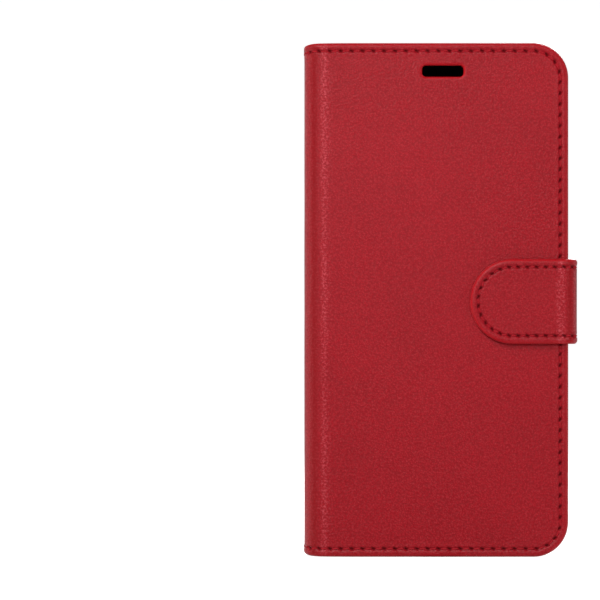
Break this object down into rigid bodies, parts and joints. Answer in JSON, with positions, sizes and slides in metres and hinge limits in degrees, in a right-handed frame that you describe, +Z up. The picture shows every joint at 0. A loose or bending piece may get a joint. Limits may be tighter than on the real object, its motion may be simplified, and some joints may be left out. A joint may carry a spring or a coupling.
{
  "type": "phone wallet case",
  "caption": "Book-style leather phone wallet case with a moulded phone tray, card pockets, a camera window, a stand crease and a magnetic closing strap.",
  "frame": {"origin": "centre of the underside of the whole case as it stands upright, closed", "axes": "+Z up along the phone's length, -Y out of the front cover, +Y out of the back panel, +X towards the opening side with the strap, -X towards the spine"},
  "size_m": [0.0806, 0.0202, 0.152],
  "materials": {
    "cover_leather": "red pebble-grained leather, semi-matt",
    "lining": "smooth dark red leatherette, matt",
    "board": "grey-brown stiffening board",
    "tray": "black soft moulded polymer, satin",
    "glue": "double-sided adhesive sheet",
    "thread": "red polyester sewing thread",
    "magnet": "plated magnet disc"
  },
  "bodies": {
    "phone_side": {"back_leather_camera_side": "cover_leather", "back_board_camera_side": "board", "back_lining_camera_side": "lining", "phone_tray": "tray", "tray_glue_pad": "glue", "strap_anchor_tongue": "lining", "back_thread_camera_side": "thread"},
    "back_flap": {"back_leather_spine_side": "cover_leather", "back_board_spine_side": "board", "back_lining_spine_side": "lining", "back_thread_spine_side": "thread", "crease_leather": "cover_leather", "crease_lining": "lining"},
    "spine": {"spine_leather": "cover_leather", "spine_board": "board", "spine_lining": "lining", "back_fold_leather": "cover_leather", "back_fold_lining": "lining"},
    "front_cover": {"front_leather": "cover_leather", "front_board": "board", "front_lining": "lining", "cash_pocket_panel": "lining", "card_pocket_1": "lining", "card_pocket_2": "lining", "card_pocket_3": "lining", "front_magnet": "magnet", "front_thread": "thread", "pocket_thread": "thread", "front_fold_leather": "cover_leather", "front_fold_lining": "lining"},
    "strap_side": {"strap_side_leather": "cover_leather", "strap_side_lining": "lining", "strap_base_fold": "cover_leather"},
    "strap_flap": {"strap_flap_leather": "cover_leather", "strap_flap_lining": "lining", "strap_magnet": "magnet", "strap_thread": "thread", "strap_front_fold": "cover_leather"}
  },
  "joints": [
    {"name": "stand_crease", "type": "hinge", "parent": "phone_side", "child": "back_flap", "pos_m": [0.00184, 0.0101, 0.076], "axis": [0, 0, -1], "range_deg": [0, 30], "deforming": ["crease_leather", "crease_lining"]},
    {"name": "back_fold", "type": "hinge", "parent": "back_flap", "child": "spine", "pos_m": [-0.03852, 0.00832, 0.076], "axis": [0, 0, -1], "range_deg": [0, 150], "deforming": ["back_fold_leather", "back_fold_lining"]},
    {"name": "front_fold", "type": "hinge", "parent": "spine", "child": "front_cover", "pos_m": [-0.03852, -0.00622, 0.076], "axis": [0, 0, -1], "range_deg": [0, 180], "deforming": ["front_fold_leather", "front_fold_lining"]},
    {"name": "strap_base_bend", "type": "hinge", "parent": "phone_side", "child": "strap_side", "pos_m": [0.03867, 0.00807, 0.076], "axis": [0, 0, 1], "range_deg": [0, 110], "deforming": ["strap_base_fold"]},
    {"name": "strap_front_bend", "type": "hinge", "parent": "strap_side", "child": "strap_flap", "pos_m": [0.03884, -0.00864, 0.076], "axis": [0, 0, 1], "range_deg": [0, 100], "deforming": ["strap_front_fold"]}
  ],
  "couplings": [
    {"joint": "stand_crease", "follows": "back_fold", "ratio": 0.2}
  ]
}
